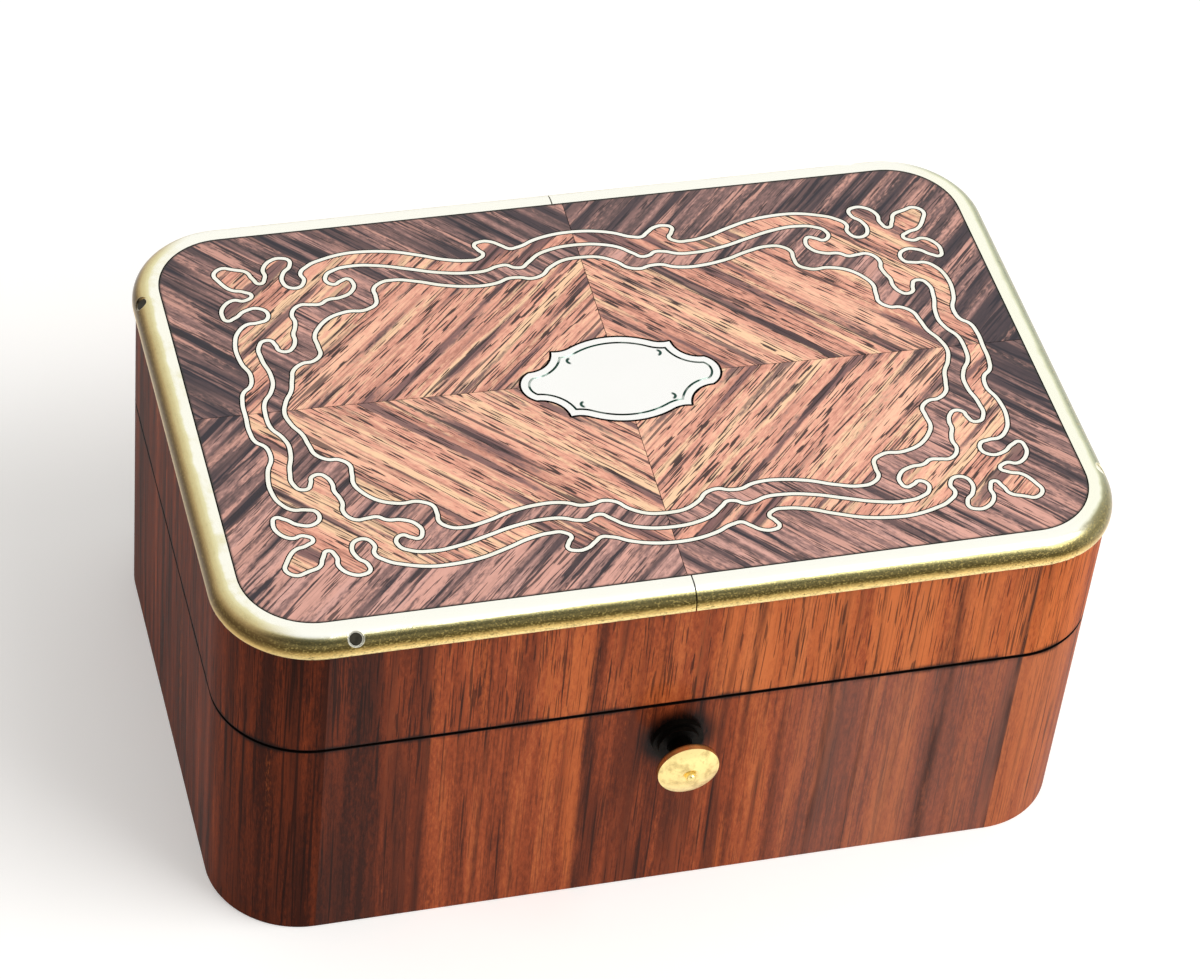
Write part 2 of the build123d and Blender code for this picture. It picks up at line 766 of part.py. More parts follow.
with BuildPart() as button_collar:
    with BuildSketch(button_plane):
        with BuildLine():
            tube_end = front_face - collar_end
            Polyline(
                (bore_radius, tube_end),
                (collar_tube_radius, tube_end),
                (collar_tube_radius, 0),
                (collar_radius, 0),
                (collar_radius, collar_flange_height),
                (collar_step_radius, collar_flange_height),
                (collar_step_radius, collar_front),
                (bore_radius, collar_front),
                close=True,
            )
        make_face()
    revolve(axis=button_axis)
save(button_collar, "button_collar")

# Lock: a folded plate with two ears, the catch lever on its pivot pin, and the leaf spring
ear_inner = lever_half_width + ear_gap
ear_outer = ear_inner + ear_thickness
pivot_start = (-ear_outer, lever_axis_y, lever_pivot_height)
pivot_end = (ear_outer, lever_axis_y, lever_pivot_height)
spring_foot_bottom = lever_pivot_height + spring_foot_rise
spring_foot_top = spring_foot_bottom + spring_foot_length
spring_end = spring_foot_top + spring_arm
rivet_height = (spring_foot_bottom + spring_foot_top) / 2

with BuildPart() as lock_plate_part:
    half = lock_half_width
    block((-half, half), (lock_plate_front, front_inside), (lock_plate_bottom, base_height))
    block((-half, half), (selvedge_front, front_inside), (lock_selvedge_bottom, base_height))
    for x_range in ((-ear_outer, -ear_inner), (ear_inner, ear_outer)):
        ear_y = (lever_axis_y - ear_half_height, lock_plate_front)
        ear_z = (lever_pivot_height - ear_half_height, lever_pivot_height + ear_half_height)
        block(x_range, ear_y, ear_z)
    rod(pivot_pin_radius + fit, pivot_start, pivot_end, Mode.SUBTRACT)
    slot_half = tongue_half_width + slot_room
    slot_y = (tongue_front - slot_room, tongue_back + slot_room)
    block((-slot_half, slot_half), slot_y, (lock_selvedge_bottom, base_height), Mode.SUBTRACT)
    rivet_start = (0, lock_plate_front - length, rivet_height)
    rod(rivet_radius + fit, rivet_start, (0, length, rivet_height), Mode.SUBTRACT)
    for point, direction in lock_screw_places():
        screw_hole(point, direction)
save(lock_plate_part, "lock_plate")

with BuildPart() as lock_screws:
    for point, direction in lock_screw_places():
        screw(point, direction)
save(lock_screws, "lock_screws")

with BuildPart() as catch_lever:
    half = lever_half_width
    block((-half, half), (lever_front, lever_back), (lever_pivot_height, lever_top))
    rod(lever_barrel_radius, (-half, *pivot_start[1:]), (half, *pivot_start[1:]))
    rod(pivot_pin_radius + running_fit, pivot_start, pivot_end, Mode.SUBTRACT)
    with BuildSketch(Plane.YZ.offset(-nose_half_width)):
        nose_tip = lever_front - nose_reach
        Polygon(
            (lever_back, nose_bottom),
            (nose_tip, nose_bottom),
            (nose_tip, nose_bottom + nose_rise / 3),
            (lever_front, nose_top),
            (lever_back, nose_top),
        )
    extrude(amount=2 * nose_half_width)
save(catch_lever, "catch_lever")

with BuildPart() as catch_pivot_pin:
    rod(pivot_pin_radius, pivot_start, pivot_end)
save(catch_pivot_pin, "catch_pivot_pin")

with BuildPart() as catch_spring:
    with BuildSketch(Plane.YZ.offset(-spring_half_width)):
        touch = lever_back + fit + spring_thickness
        seat = lock_plate_front
        Polygon(
            (seat, spring_foot_bottom),
            (seat, spring_foot_top),
            (touch, spring_end),
            (touch - spring_thickness, spring_end),
            (seat - spring_thickness, spring_foot_top),
            (seat - spring_thickness, spring_foot_bottom),
        )
    extrude(amount=2 * spring_half_width)
    rod(rivet_radius + fit, (0, -depth, rivet_height), (0, depth, rivet_height), Mode.SUBTRACT)
save(catch_spring, "catch_spring")

with BuildPart() as spring_rivet:
    foot = lock_plate_front - spring_thickness
    rod(rivet_radius, (0, foot, rivet_height), (0, front_inside, rivet_height))
    rod(rivet_head_radius, (0, foot - rivet_head_height, rivet_height), (0, foot, rivet_height))
save(spring_rivet, "spring_rivet")

# Strike: a plate in the lid's rim with a windowed tongue that hangs into the lock
with BuildPart() as strike_plate:
    half = strike_half_width
    strike_top = lid_bottom + strike_thickness
    block((-half, half), (selvedge_front, selvedge_front + strike_depth), (lid_bottom, strike_top))
    half = tongue_half_width
    block((-half, half), (tongue_front, tongue_back), (tongue_bottom, strike_top))
    half = window_half_width
    block((-half, half), (-depth, 0), (window_bottom, window_bottom + window_height), Mode.SUBTRACT)
    for point in strike_screw_points():
        screw_hole(point, (0, 0, 1))
save(strike_plate, "strike_plate")

with BuildPart() as strike_screws:
    for point in strike_screw_points():
        screw(point, (0, 0, 1))
save(strike_screws, "strike_screws")
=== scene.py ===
import math

import bpy
from mathutils import Matrix, Vector


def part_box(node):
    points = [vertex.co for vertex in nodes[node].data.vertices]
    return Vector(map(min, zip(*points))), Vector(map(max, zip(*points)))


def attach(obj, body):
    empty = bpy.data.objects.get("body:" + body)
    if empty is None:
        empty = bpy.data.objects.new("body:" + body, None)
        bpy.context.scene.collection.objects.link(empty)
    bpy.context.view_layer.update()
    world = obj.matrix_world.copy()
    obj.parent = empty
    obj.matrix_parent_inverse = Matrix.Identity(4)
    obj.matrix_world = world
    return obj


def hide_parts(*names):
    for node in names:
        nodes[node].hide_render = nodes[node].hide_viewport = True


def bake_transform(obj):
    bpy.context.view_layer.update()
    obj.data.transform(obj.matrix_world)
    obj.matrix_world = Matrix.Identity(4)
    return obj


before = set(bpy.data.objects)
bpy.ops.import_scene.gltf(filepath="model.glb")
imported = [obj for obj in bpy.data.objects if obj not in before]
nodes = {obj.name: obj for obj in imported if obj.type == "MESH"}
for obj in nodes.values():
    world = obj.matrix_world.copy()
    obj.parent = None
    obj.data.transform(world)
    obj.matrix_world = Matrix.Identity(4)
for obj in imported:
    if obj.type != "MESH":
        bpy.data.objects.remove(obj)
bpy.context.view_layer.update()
toMm = 1000.0

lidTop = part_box("field_veneer")[1].z * toMm
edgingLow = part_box("edging_left")[0].z * toMm
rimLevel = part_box("base_front_board")[1].z * toMm
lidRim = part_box("lid_front_board")[0].z * toMm
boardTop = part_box("lid_top_board")[1].z * toMm
buttonLow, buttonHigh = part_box("push_button")
buttonSpot = (buttonLow + buttonHigh) * 0.5 * toMm
print("frame loaded:", len(nodes), "nodes")


def tone(red, green, blue):  # a colour as seen on screen, 0 to 255, made linear
    parts = [part / 255 for part in (red, green, blue)]
    return tuple(p / 12.92 if p <= 0.04045 else ((p + 0.055) / 1.055) ** 2.4 for p in parts) + (1.0,)


class Wire:  # a node socket that takes part in plain sums
    def __init__(self, tree, socket):
        self.tree = tree
        self.socket = socket

    def node(self, kind, settings=None, sockets=None, output=0):
        made = self.tree.nodes.new(kind)
        for name, value in (settings or {}).items():
            if name == "stops":
                elements = made.color_ramp.elements
                elements.remove(elements[1])
                elements[0].position, elements[0].color = value[0]
                for place, colour in value[1:]:
                    elements.new(place).color = colour
            else:
                setattr(made, name, value)
        for name, value in (sockets or {}).items():
            if isinstance(value, Wire):
                self.tree.links.new(value.socket, made.inputs[name])
            else:
                made.inputs[name].default_value = value
        return Wire(self.tree, made.outputs[output])

    def math(self, operation, first, second=0.0):
        return self.node("ShaderNodeMath", {"operation": operation}, {0: first, 1: second})

    def __add__(self, other):
        return self.math("ADD", self, other)

    def __sub__(self, other):
        return self.math("SUBTRACT", self, other)

    def __rsub__(self, other):
        return self.math("SUBTRACT", other, self)

    def __mul__(self, other):
        return self.math("MULTIPLY", self, other)

    def __truediv__(self, other):
        return self.math("DIVIDE", self, other)

    __radd__ = __add__
    __rmul__ = __mul__

    def size(self):
        return self.math("ABSOLUTE", self)

    def rise(self, low, high):  # 0 below low, 1 above high, smooth between
        return self.node("ShaderNodeMapRange", {"interpolation_type": "SMOOTHSTEP"},
                         {"Value": self, "From Min": low, "From Max": high})

    def fall(self, low, high):  # 1 below low, 0 above high
        return 1.0 - self.rise(low, high)

    def ramp(self, stops):
        return self.node("ShaderNodeValToRGB", {"stops": stops}, {"Fac": self})

    def mix(self, first, second):  # this value chooses between two colours
        return self.node("ShaderNodeMix", {"data_type": "RGBA"}, {0: self, 6: first, 7: second}, output=2)

    def noise(self, x, y, z, detail=2.0, rough=0.5):
        spot = self.node("ShaderNodeCombineXYZ", {}, {0: x, 1: y, 2: z})
        return self.node("ShaderNodeTexNoise", {},
                         {"Vector": spot, "Scale": 1.0, "Detail": detail, "Roughness": rough})

    def distance(self, x, y, z=0.0):  # from two or three offsets
        squares = x * x + y * y
        return self.math("SQRT", squares + z * z if isinstance(z, Wire) else squares)

    def bump(self, strength, depth):
        return self.node("ShaderNodeBump", {},
                         {"Strength": strength, "Distance": depth / toMm, "Height": self})


def startMaterial(name):
    made = bpy.data.materials.new(name)
    made.use_nodes = True
    tree = made.node_tree
    spots = tree.nodes.new("ShaderNodeTexCoord").outputs["Object"]
    parts = tree.nodes.new("ShaderNodeSeparateXYZ")
    tree.links.new(spots, parts.inputs[0])
    x, y, z = (Wire(tree, parts.outputs[i]) * toMm for i in range(3))
    return made, x, y, z


def finishMaterial(made, values):
    shader = made.node_tree.nodes["Principled BSDF"]
    for name, value in values.items():
        if isinstance(value, Wire):
            made.node_tree.links.new(value.socket, shader.inputs[name])
        else:
            shader.inputs[name].default_value = value
    return made


def dress(material, *names):
    for name in names:
        slots = nodes[name].data.materials
        slots.clear()
        slots.append(material)


def mottle(x, y, z, level, upright, detail=2.0, rough=0.5):  # lines per mm along the level and upright
    return x.noise(x * level, y * level, z * upright, detail, rough)


# Rosewood: a mottled ground under light streaks, broad shades, dark cores and open pores along the grain
grain = {  # shared by all the looks; the first four are lines per mm, across and along
    "sway": (0.05, 0.02), "speck": (3.4, 0.9), "hairs": (3.8, 0.05), "crowd": (0.35, 0.04),
    "coreLines": 1.6, "coreRate": 2.0, "hairFrom": (0.54, 0.7), "crowding": 0.3, "poreStart": 0.15,
    "glowSoft": 0.14, "shadeSoft": 0.1, "coreSoft": 0.06, "poreSoft": 0.05, "speckHeight": 0.3,
    "glowSpeck": 0.3, "shadeSpeck": 0.2, "shadeLift": 0.25, "coreShade": 0.05, "coreLift": 0.1,
    "depths": {"speck": 13.3, "ground": 3.1, "glow": 7.7, "shade": 21.9, "core": 41.7, "hairs": 61.5,
               "crowd": 51.1, "pore": 31.3}}  # where each layer cuts through the noise
polish = {"coatRough": 0.05, "fineRough": 0.14, "poreStrength": 0.4, "poreDepth": 0.02}


def rosewood(along, across, leaf, look, lift, poreShare=1.0):
    swayAcross, swayAlong = grain["sway"]
    sway = along.noise(across * swayAcross, along * swayAlong, leaf, 1.0)
    line = across + (sway - 0.5) * look["sway"]

    def layer(name, lines, rate, detail, rough=0.5):
        return along.noise(line * lines, along * rate, leaf + grain["depths"][name], detail, rough)

    def setIn(value, name):  # how far a streak has passed the look's own limit
        return value.rise(look[f"{name}Low"], look[f"{name}Low"] + grain[f"{name}Soft"])

    def cover(colour, mask, name):
        return (mask * look[f"{name}Weight"]).mix(colour, look[name])

    speck = layer("speck", *grain["speck"], 3.0, 0.6) - 0.5
    ground = layer("ground", look["groundLines"], look["length"], 2.0)
    spread = look["groundSpread"]
    colour = (ground * spread + (0.5 - spread / 2) + speck * look["speck"] + lift).ramp(look["stops"])
    glow = layer("glow", look["glowLines"], look["length"], 1.5)
    glow = glow + speck * grain["glowSpeck"] + lift * look["glowFollow"]
    colour = cover(colour, setIn(glow, "glow"), "glow")
    shade = layer("shade", look["shadeLines"], look["length"], 1.5)
    shaded = setIn(shade + speck * grain["shadeSpeck"] - lift * grain["shadeLift"], "shade")
    colour = cover(colour, shaded, "shade")
    core = layer("core", grain["coreLines"], look["length"] * grain["coreRate"], 1.0)
    core = core + shaded * grain["coreShade"] - lift * grain["coreLift"]
    colour = cover(colour, setIn(core, "core"), "core")
    hairs = layer("hairs", *grain["hairs"], 1.0).rise(*grain["hairFrom"])
    colour = (hairs * look["hairWeight"]).mix(colour, look["pore"])
    crowd = layer("crowd", *grain["crowd"], 1.0) * grain["crowding"]
    poreEdge = look["poreLow"] + grain["poreStart"] - crowd  # pores stand closer in some bands
    pores = layer("pore", look["poreLines"], look["poreLength"], 0.0)
    pores = pores.rise(poreEdge, poreEdge + grain["poreSoft"])
    colour = cover(colour, pores * poreShare, "pore")
    return colour, speck * grain["speckHeight"] - pores, speck + 0.5


def bands(place, span, zones):  # listed shades at places from -span to span
    def share(where):
        return (where + span) / (2 * span)
    return share(place).ramp([(share(where), (shade, shade, shade, 1.0)) for where, shade in zones])


def polishedWood(made, colour, height, fine, look):
    return finishMaterial(made, {
        "Base Color": colour, "Roughness": fine * polish["fineRough"] + look["rough"],
        "Specular IOR Level": look["gloss"], "Coat Weight": look["coat"], "Coat Roughness": polish["coatRough"],
        "Normal": height.bump(polish["poreStrength"], polish["poreDepth"])})


# Top veneers, each cut as four matched quarters and laid by hand, a little turned on the lid
layOut = {"turn": math.radians(-1.5), "x": 0.45, "y": 0.5}
lightLook = {
    "sway": 0.9, "length": 0.028, "groundLines": 0.7, "groundSpread": 1.3, "speck": 1.1,
    "glowLines": 0.75, "glowLow": 0.53, "glowFollow": 0.2, "glowWeight": 0.85,
    "shadeLines": 0.6, "shadeLow": 0.52, "shadeWeight": 0.88, "coreLow": 0.62, "coreWeight": 0.8,
    "poreLines": 5.2, "poreLength": 0.3, "poreLow": 0.63, "poreWeight": 0.95, "hairWeight": 0.36,
    "glow": tone(255, 213, 171), "shade": tone(112, 82, 84), "core": tone(54, 40, 46), "pore": tone(50, 32, 32),
    "rough": 0.3, "gloss": 0.25, "coat": 0.18,
    "frontLift": 0.05, "frontFrom": (-60.0, -50.0), "frontShift": 0.0,
    "leftLift": 0.0, "sideLift": 0.0, "backLift": 0.0, "leafLift": 0.0,
    "stops": [(0.15, tone(184, 124, 106)), (0.5, tone(236, 168, 144)), (0.85, tone(255, 198, 166))],
    "zones": [(-34, 0.5), (0, 0.5), (6, 0.56), (9.5, 0.6), (12, 0.44), (14.5, 0.7), (16.5, 0.5), (19, 0.46),
              (21.5, 0.26), (23.2, 0.5), (24.8, 0.3), (26, 0.5), (28, 0.66), (34, 0.6)]}
darkLook = {
    "sway": 1.2, "length": 0.03, "groundLines": 0.7, "groundSpread": 1.5, "speck": 0.8,
    "glowLines": 0.7, "glowLow": 0.5, "glowFollow": 0.3, "glowWeight": 0.75,
    "shadeLines": 0.65, "shadeLow": 0.49, "shadeWeight": 0.85, "coreLow": 0.61, "coreWeight": 0.9,
    "poreLines": 4.6, "poreLength": 0.25, "poreLow": 0.65, "poreWeight": 0.8, "hairWeight": 0.4,
    "glow": tone(228, 170, 153), "shade": tone(58, 48, 55), "core": tone(36, 32, 42), "pore": tone(44, 34, 38),
    "rough": 0.3, "gloss": 0.25, "coat": 0.18,
    "frontLift": 0.18, "frontFrom": (-34.0, -16.0), "frontShift": 10.0,
    "leftLift": 0.07, "sideLift": 0.06, "backLift": -0.02, "leafLift": -0.03,
    "stops": [(0.03, tone(60, 50, 54)), (0.34, tone(106, 82, 80)), (0.6, tone(152, 115, 109)),
              (0.9, tone(220, 168, 155))],
    "zones": [(-42, 0.14), (-34, 0.22), (-29, 0.32), (-22, 0.46), (-14, 0.5), (-6, 0.52), (4, 0.48),
              (12, 0.5), (20, 0.44), (26, 0.35)]}
bandLook = dict(darkLook, frontLift=0.06, frontShift=0.0, leftLift=0.0, sideLift=0.0, backLift=0.0,
                leafLift=0.0, zones=[(-42, 0.4), (-20, 0.62), (0, 0.66), (26, 0.6)])
quarterPlan = {"diamondAngle": math.radians(45.0), "rayAngle": math.radians(46.0), "zoneSpan": 50.0,
               "zoneWeight": 0.6, "rightDepth": 0.35, "backDepth": 0.22, "rightSlip": 1.3, "backSlip": 2.1}
# the field's outline; its tone is painted shade along the edging
fieldRim = {"halfSpan": 52.26, "halfDepth": 33.51, "corner": 8.76, "tone": tone(38, 42, 38), "weight": 0.85,
            "from": (0.1, 0.45)}
# painted shade: the tone painted on the walls of the gaps and cuts in the top
grooveShade = {"tone": tone(36, 30, 26), "from": (0.015, 0.05)}


def layFrame(x, y):  # the ornament's own axes
    cosTurn, sinTurn = math.cos(layOut["turn"]), math.sin(layOut["turn"])
    fromX, fromY = x - layOut["x"], y - layOut["y"]
    return fromX * cosTurn + fromY * sinTurn, fromY * cosTurn - fromX * sinTurn


def sunk(z):  # 1 on the walls of a groove, 0 on the top face
    return (lidTop - z).rise(*grooveShade["from"])


def insideOf(x, y, outline):  # how far in from a rounded outline
    cornerX = x.math("MAXIMUM", x.size() - (outline["halfSpan"] - outline["corner"]), 0.0)
    cornerY = y.math("MAXIMUM", y.size() - (outline["halfDepth"] - outline["corner"]), 0.0)
    return outline["corner"] - x.distance(cornerX, cornerY)


def quarteredWood(name, look, rays, depth):  # the grain runs in rays to the corners, or in diamonds
    made, x, y, z = startMaterial(name)
    edgingShade = insideOf(x, y, fieldRim).fall(*fieldRim["from"])  # a dark line along the edging, painted shade in the gap beside it
    x, y = layFrame(x, y)
    angle = quarterPlan["rayAngle" if rays else "diamondAngle"]
    cosGrain, sinGrain = math.cos(angle), math.sin(angle)
    if rays:
        along = x.size() * cosGrain + y.size() * sinGrain
        across = y.size() * cosGrain - x.size() * sinGrain
    else:
        along = y.size() * sinGrain - x.size() * cosGrain
        across = x.size() * sinGrain + y.size() * cosGrain
    right = x.math("GREATER_THAN", x, 0.0)
    back = y.math("GREATER_THAN", y, 0.0)
    left, front = 1.0 - right, 1.0 - back
    leaf = right * quarterPlan["rightDepth"] + back * quarterPlan["backDepth"] + depth
    zoneLift = (bands(across, quarterPlan["zoneSpan"], look["zones"]) - 0.5) * quarterPlan["zoneWeight"]
    lift = zoneLift + back * look["backLift"] + look["leafLift"]
    lift = lift + front * (across - right * look["frontShift"]).rise(*look["frontFrom"]) * look["frontLift"]
    lift = lift + left * (front * look["leftLift"] + across.fall(*look["frontFrom"]) * look["sideLift"])
    slipped = across + right * quarterPlan["rightSlip"] + back * quarterPlan["backSlip"]
    colour, height, fine = rosewood(along, slipped, leaf, look, lift)
    colour = (edgingShade * fieldRim["weight"]).mix(colour, fieldRim["tone"])
    # painted shade: the walls of the gaps between veneers are dark, as shade in the gaps
    return polishedWood(made, sunk(z).mix(colour, grooveShade["tone"]), height, fine, look)


dress(quarteredWood("centreRosewood", lightLook, False, 0.0), "centre_veneer")
dress(quarteredWood("lightBandRosewood", lightLook, False, 5.0), "light_band_veneer")
dress(quarteredWood("fieldRosewood", darkLook, True, 2.0), "field_veneer")
dress(quarteredWood("darkBandRosewood", bandLook, True, 9.0), "dark_band_veneer")
print("top veneers dressed")

# Wall veneers: upright grain that runs on from the base into the lid
wallLook = {
    "sway": 0.8, "length": 0.02, "groundLines": 0.45, "groundSpread": 0.8, "speck": 0.45,
    "glowLines": 0.3, "glowLow": 0.53, "glowFollow": 0.6, "glowWeight": 0.35,
    "shadeLines": 0.4, "shadeLow": 0.57, "shadeWeight": 0.5, "coreLow": 0.65, "coreWeight": 0.7,
    "poreLines": 5.4, "poreLength": 0.2, "poreLow": 0.64, "poreWeight": 0.65, "hairWeight": 0.35,
    "glow": tone(204, 106, 52), "shade": tone(66, 30, 19), "core": tone(30, 14, 10), "pore": tone(36, 16, 11),
    "rough": 0.3, "gloss": 0.07, "coat": 0.06,
    "stops": [(0.08, tone(58, 24, 14)), (0.36, tone(114, 49, 25)), (0.56, tone(158, 74, 40)),
              (0.86, tone(206, 114, 63))],
    # the zones follow the wood's figure; at the left end they are set darker as painted shade
    "zones": [(-43.5, 0.12), (-39, 0.16), (-37, 0.25), (-35.5, 0.36), (-34, 0.26), (-31.8, 0.3), (-30.2, 0.54),
              (-22, 0.5), (-12, 0.53), (-10.5, 0.36), (0, 0.4), (6, 0.48), (9.5, 0.54), (12, 0.6), (14, 0.5),
              (18, 0.56), (20, 0.48), (24, 0.5), (25.5, 0.68), (30.5, 0.71), (31.5, 0.51), (36, 0.54),
              (42, 0.5), (43.4, 0.44), (44.3, 0.75), (48, 0.73)],
    "stripes": [(-48.0, 0.9, 0.4), (-44.0, 0.5, 0.5), (-31.0, 0.6, 0.4), (-11.0, 0.9, 0.2), (8.5, 0.7, 0.3),
                (13.6, 0.5, 0.5), (19.0, 0.6, 0.35), (24.0, 0.5, 0.45), (34.0, 1.2, 0.3), (43.4, 0.7, 0.35)],
    "hairlines": [(-38.0, 0.4, 0.6), (-24.0, 0.35, 0.4), (-20.5, 0.4, 0.6), (-5.0, 0.3, 0.6), (2.0, 0.3, 0.4),
                  (4.2, 0.35, 0.5), (29.0, 0.3, 0.5), (37.5, 0.4, 0.6)]}
sideLook = dict(wallLook, gloss=0.04, coat=0.0, rough=0.45)
wallPlan = {
    "halfSpan": 55.0, "halfDepth": 36.25, "corner": 11.5, "swing": 1.4, "leafRate": 0.02,
    "lidLight": 0.2, "lidFrom": (-20.0, 0.0), "turnLight": 0.12, "turnFrom": (0.5, 6.0),
    "rightLight": 0.3, "rightFrom": (-10.0, 10.0), "sideLift": -0.22,
    "flatVeil": 0.3, "sideVeil": 0.22, "veilFrom": (8.0, 22.0), "veilTone": tone(131, 107, 100),
    "stripeTone": tone(34, 16, 12), "stripeDepth": 11.0, "breakFrom": (0.3, 0.6),
    "darkTone": tone(16, 9, 7), "haloFrom": (3.0, 6.5), "nearSeamFrom": (0.25, 1.0), "nearSeamWeight": 0.8,
    "seamFrom": (0.22, 0.38), "rimTone": tone(62, 31, 20), "rimFrom": (0.25, 0.4), "rimFacing": (0.6, 0.8)}


def wallWood(name, flat):
    made, x, y, z = startMaterial(name)
    onLid = z.rise(rimLevel, lidRim)
    if flat:
        across, depth = x, y
        sway = z.noise(x * 0.2, z * 0.03, y * 0.02) - 0.5
        place = x + sway * wallPlan["swing"]
        lift = bands(place, wallPlan["halfSpan"], wallLook["zones"]) - 0.5
        # painted light: the lid's wall, from the middle rightwards, is lighter than the base's, as lit from
        # above
        lift = lift + onLid * x.rise(*wallPlan["lidFrom"]) * wallPlan["lidLight"]
    else:
        turned = wallPlan["halfSpan"] - x.size()  # how far the veneer has gone round the corner
        across, depth = y + y.math("SIGN", y) * turned, x
        # painted light and shade: the side veneers are lighter on the right and darker on the left, more so
        # round the corners, for light falling from the right
        toRight = x.rise(*wallPlan["rightFrom"])
        cornerLight = toRight * (2 * wallPlan["turnLight"]) - wallPlan["turnLight"]
        lift = turned.rise(*wallPlan["turnFrom"]) * cornerLight
        lift = lift + toRight * wallPlan["rightLight"] + wallPlan["sideLift"]
    poreShare = onLid * 0.5 + 0.5  # the pores are painted half as strong on the base, standing in for reflection that veils them
    colour, height, fine = rosewood(z, across, depth * wallPlan["leafRate"], wallLook, lift, poreShare)
    veil = x.rise(*wallPlan["veilFrom"]) * (1.0 - onLid) * wallPlan["flatVeil" if flat else "sideVeil"]
    colour = veil.mix(colour, wallPlan["veilTone"])  # painted reflection: the base is paler and greyer on the right, as a veil of reflected light
    if flat:
        for lines in ("stripes", "hairlines"):
            stops = []
            for where, halfWidth, left in wallLook[lines]:
                stops += [(where - halfWidth, 1.0), (where, left), (where + halfWidth, 1.0)]
            breaks = z.noise(x * 0.9, z * 0.1, wallPlan["stripeDepth"]).rise(*wallPlan["breakFrom"])
            stripes = (1.0 - bands(place, wallPlan["halfSpan"], stops)) * (breaks * 0.8 + 0.25)
            colour = stripes.mix(colour, wallPlan["stripeTone"])
        away = x.distance(x - buttonSpot.x, z - buttonSpot.z)
        halo = away.fall(*wallPlan["haloFrom"]) * (y * -1.0).rise(0.0, 1.0) * (fine * 0.8 + 0.5)
        colour = halo.rise(0.0, 1.0).mix(colour, wallPlan["darkTone"])  # darker round the button
    seam = (z - (rimLevel + lidRim) / 2).size()
    # a mottled darker band within a millimetre of the seam
    nearSeam = seam.fall(*wallPlan["nearSeamFrom"]) * mottle(x, y, z, 0.3, 0.3, 3.0).rise(0.35, 0.65)
    colour = (nearSeam * wallPlan["nearSeamWeight"]).mix(colour, wallPlan["darkTone"])
    facing = z.node("ShaderNodeSeparateXYZ", {}, {0: z.node("ShaderNodeTexCoord", output="Normal")}, output=2)
    bare = facing.size().rise(*wallPlan["rimFacing"]) * insideOf(x, y, wallPlan).rise(*wallPlan["rimFrom"])
    seamTone = bare.mix(wallPlan["darkTone"], wallPlan["rimTone"])  # the rims show when it is open; their tone is bare wood painted darker, as shade in the closed seam
    # painted shade: the faces next to the seam are painted near black, as shade in the gap between lid and base
    colour = seam.fall(*wallPlan["seamFrom"]).mix(colour, seamTone)
    return polishedWood(made, colour, height, fine, wallLook if flat else sideLook)


flatWall = wallWood("wallRosewood", True)
sideWall = wallWood("cornerRosewood", False)
for owner in ("base", "lid"):
    dress(flatWall, f"{owner}_front_veneer", f"{owner}_back_veneer")
    dress(sideWall, f"{owner}_left_veneer", f"{owner}_right_veneer")
print("walls dressed")

# Solid wood under the veneers, seen at the rims and underneath
boardLook = {"plain": tone(96, 56, 34), "light": tone(134, 84, 50), "dark": tone(52, 28, 18), "poreWeight": 0.7,
             "rough": 0.45, "gapShade": tone(18, 10, 8), "paleGapShade": tone(44, 26, 20), "gapShadeFrom": (-0.6, -0.3)}


def boardWood(name, alongX):
    made, x, y, z = startMaterial(name)
    along, across = (x, y) if alongX else (y, x)
    rings = x.noise(along * 0.01, across * 0.3, z * 0.3, 3.0)
    pores = x.noise(along * 0.2, across * 3.0, z * 3.0, 1.0).rise(0.6, 0.68)
    colour = rings.rise(0.3, 0.7).mix(boardLook["plain"], boardLook["light"])
    colour = (pores * boardLook["poreWeight"]).mix(colour, boardLook["dark"])
    return finishMaterial(made, {"Base Color": colour, "Roughness": rings * 0.15 + boardLook["rough"],
                                 "Normal": (rings * 0.3 - pores).bump(0.3, 0.03)})


def darkGround():  # board top painted near black as shade in the gaps, showing as a fine dark line beside each string
    made, x, y, z = startMaterial("shadedGround")
    worn = x.noise(x * 0.6, y * 0.6, z, 3.0)
    gapShade = worn.mix(boardLook["gapShade"], boardLook["paleGapShade"])
    # painted shade on the board's top face, where the gaps in the top show it
    colour = (z - boardTop).rise(*boardLook["gapShadeFrom"]).mix(boardLook["plain"], gapShade)
    return finishMaterial(made, {"Base Color": colour, "Roughness": worn * 0.2 + 0.5})


longBoard = boardWood("boardGrainLong", True)
shortBoard = boardWood("boardGrainShort", False)
dress(longBoard, "bottom_board")
for owner in ("base", "lid"):
    dress(longBoard, f"{owner}_front_board", f"{owner}_back_board")
    dress(shortBoard, f"{owner}_left_board", f"{owner}_right_board")
dress(darkGround(), "lid_top_board")
print("boards dressed")
